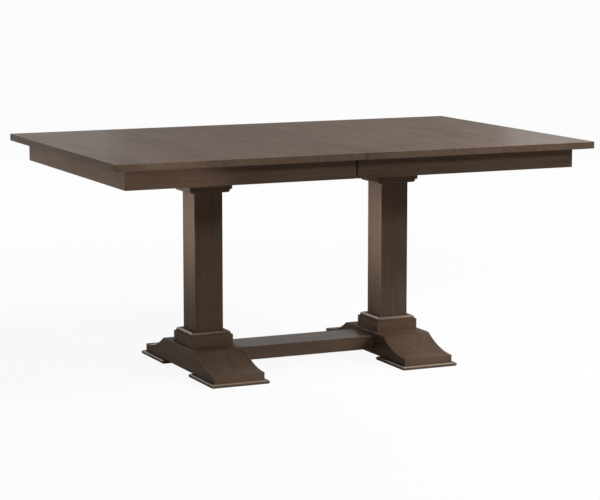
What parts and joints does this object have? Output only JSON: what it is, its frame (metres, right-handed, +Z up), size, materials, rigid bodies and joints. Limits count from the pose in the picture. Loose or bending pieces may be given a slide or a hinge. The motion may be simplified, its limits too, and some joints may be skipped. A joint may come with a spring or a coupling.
{
  "type": "double pedestal dining table",
  "caption": "Rectangular wooden dining table on a double pedestal base with moulded feet and a low stretcher; its split top slides apart on geared slides behind an apron.",
  "frame": {"origin": "on the floor, below the middle of the closed table's top", "axes": "+X along the length of the top, +Y from front to rear, +Z up"},
  "size_m": [1.676, 1.067, 0.762],
  "materials": {
    "stained_wood": "dark satin stain",
    "bare_maple": "waxed, unstained",
    "zinc_steel": "zinc plated",
    "brass": "dull brass"
  },
  "bodies": {
    "base": {"left_foot": "stained_wood", "right_foot": "stained_wood", "left_front_pad": "stained_wood", "left_rear_pad": "stained_wood", "right_front_pad": "stained_wood", "right_rear_pad": "stained_wood", "left_plinth": "stained_wood", "right_plinth": "stained_wood", "left_column_boards": "stained_wood", "right_column_boards": "stained_wood", "column_plugs": "bare_maple", "left_capital": "stained_wood", "right_capital": "stained_wood", "left_bearer": "bare_maple", "right_bearer": "bare_maple", "stretcher": "stained_wood", "tie_rods": "zinc_steel", "tie_rod_nuts": "zinc_steel", "tie_rod_washers": "zinc_steel", "pedestal_dowels": "bare_maple", "pad_screws": "zinc_steel", "stretcher_screws": "zinc_steel", "front_center_rail": "bare_maple", "rear_center_rail": "bare_maple", "center_rail_screws": "zinc_steel", "pinion_pins": "zinc_steel"},
    "left_half": {"left_top": "stained_wood", "left_front_apron": "stained_wood", "left_rear_apron": "stained_wood", "left_end_apron": "stained_wood", "left_corner_blocks": "bare_maple", "left_front_slide": "bare_maple", "left_rear_slide": "bare_maple", "left_front_rack": "zinc_steel", "left_rear_rack": "zinc_steel", "left_top_screws": "zinc_steel", "left_corner_screws": "zinc_steel", "lock_plates": "brass", "lock_plate_screws": "zinc_steel", "lock_pivots": "brass"},
    "right_half": {"right_top": "stained_wood", "right_front_apron": "stained_wood", "right_rear_apron": "stained_wood", "right_end_apron": "stained_wood", "right_corner_blocks": "bare_maple", "right_front_slide": "bare_maple", "right_rear_slide": "bare_maple", "right_front_rack": "zinc_steel", "right_rear_rack": "zinc_steel", "right_top_screws": "zinc_steel", "right_corner_screws": "zinc_steel", "lock_keepers": "brass", "lock_keeper_screws": "zinc_steel", "alignment_pins": "brass"},
    "front_pinion": {"front_pinion": "zinc_steel"},
    "rear_pinion": {"rear_pinion": "zinc_steel"},
    "front_lock_lever": {"front_lock_lever": "brass"},
    "rear_lock_lever": {"rear_lock_lever": "brass"}
  },
  "joints": [
    {"name": "left_slide", "type": "slide", "parent": "base", "child": "left_half", "axis": [-1, 0, 0], "range_m": [0, 0.4572]},
    {"name": "right_slide", "type": "slide", "parent": "base", "child": "right_half", "axis": [1, 0, 0], "range_m": [0, 0.4572]},
    {"name": "front_pinion_spin", "type": "hinge", "parent": "base", "child": "front_pinion", "pos_m": [0, -0.17, 0.718], "axis": [0, 0, 1], "range_deg": [-1310, 0]},
    {"name": "rear_pinion_spin", "type": "hinge", "parent": "base", "child": "rear_pinion", "pos_m": [0, 0.17, 0.718], "axis": [0, 0, 1], "range_deg": [0, 1310]},
    {"name": "front_lock_turn", "type": "hinge", "parent": "left_half", "child": "front_lock_lever", "pos_m": [-0.033, -0.3382, 0.732], "axis": [0, 0, -1], "range_deg": [0, 90]},
    {"name": "rear_lock_turn", "type": "hinge", "parent": "left_half", "child": "rear_lock_lever", "pos_m": [-0.033, 0.3382, 0.732], "axis": [0, 0, 1], "range_deg": [0, 90]}
  ],
  "couplings": [
    {"joint": "right_slide", "follows": "left_slide", "ratio": 1},
    {"joint": "front_pinion_spin", "follows": "left_slide", "rad_per_m": -50},
    {"joint": "rear_pinion_spin", "follows": "left_slide", "rad_per_m": 50}
  ]
}
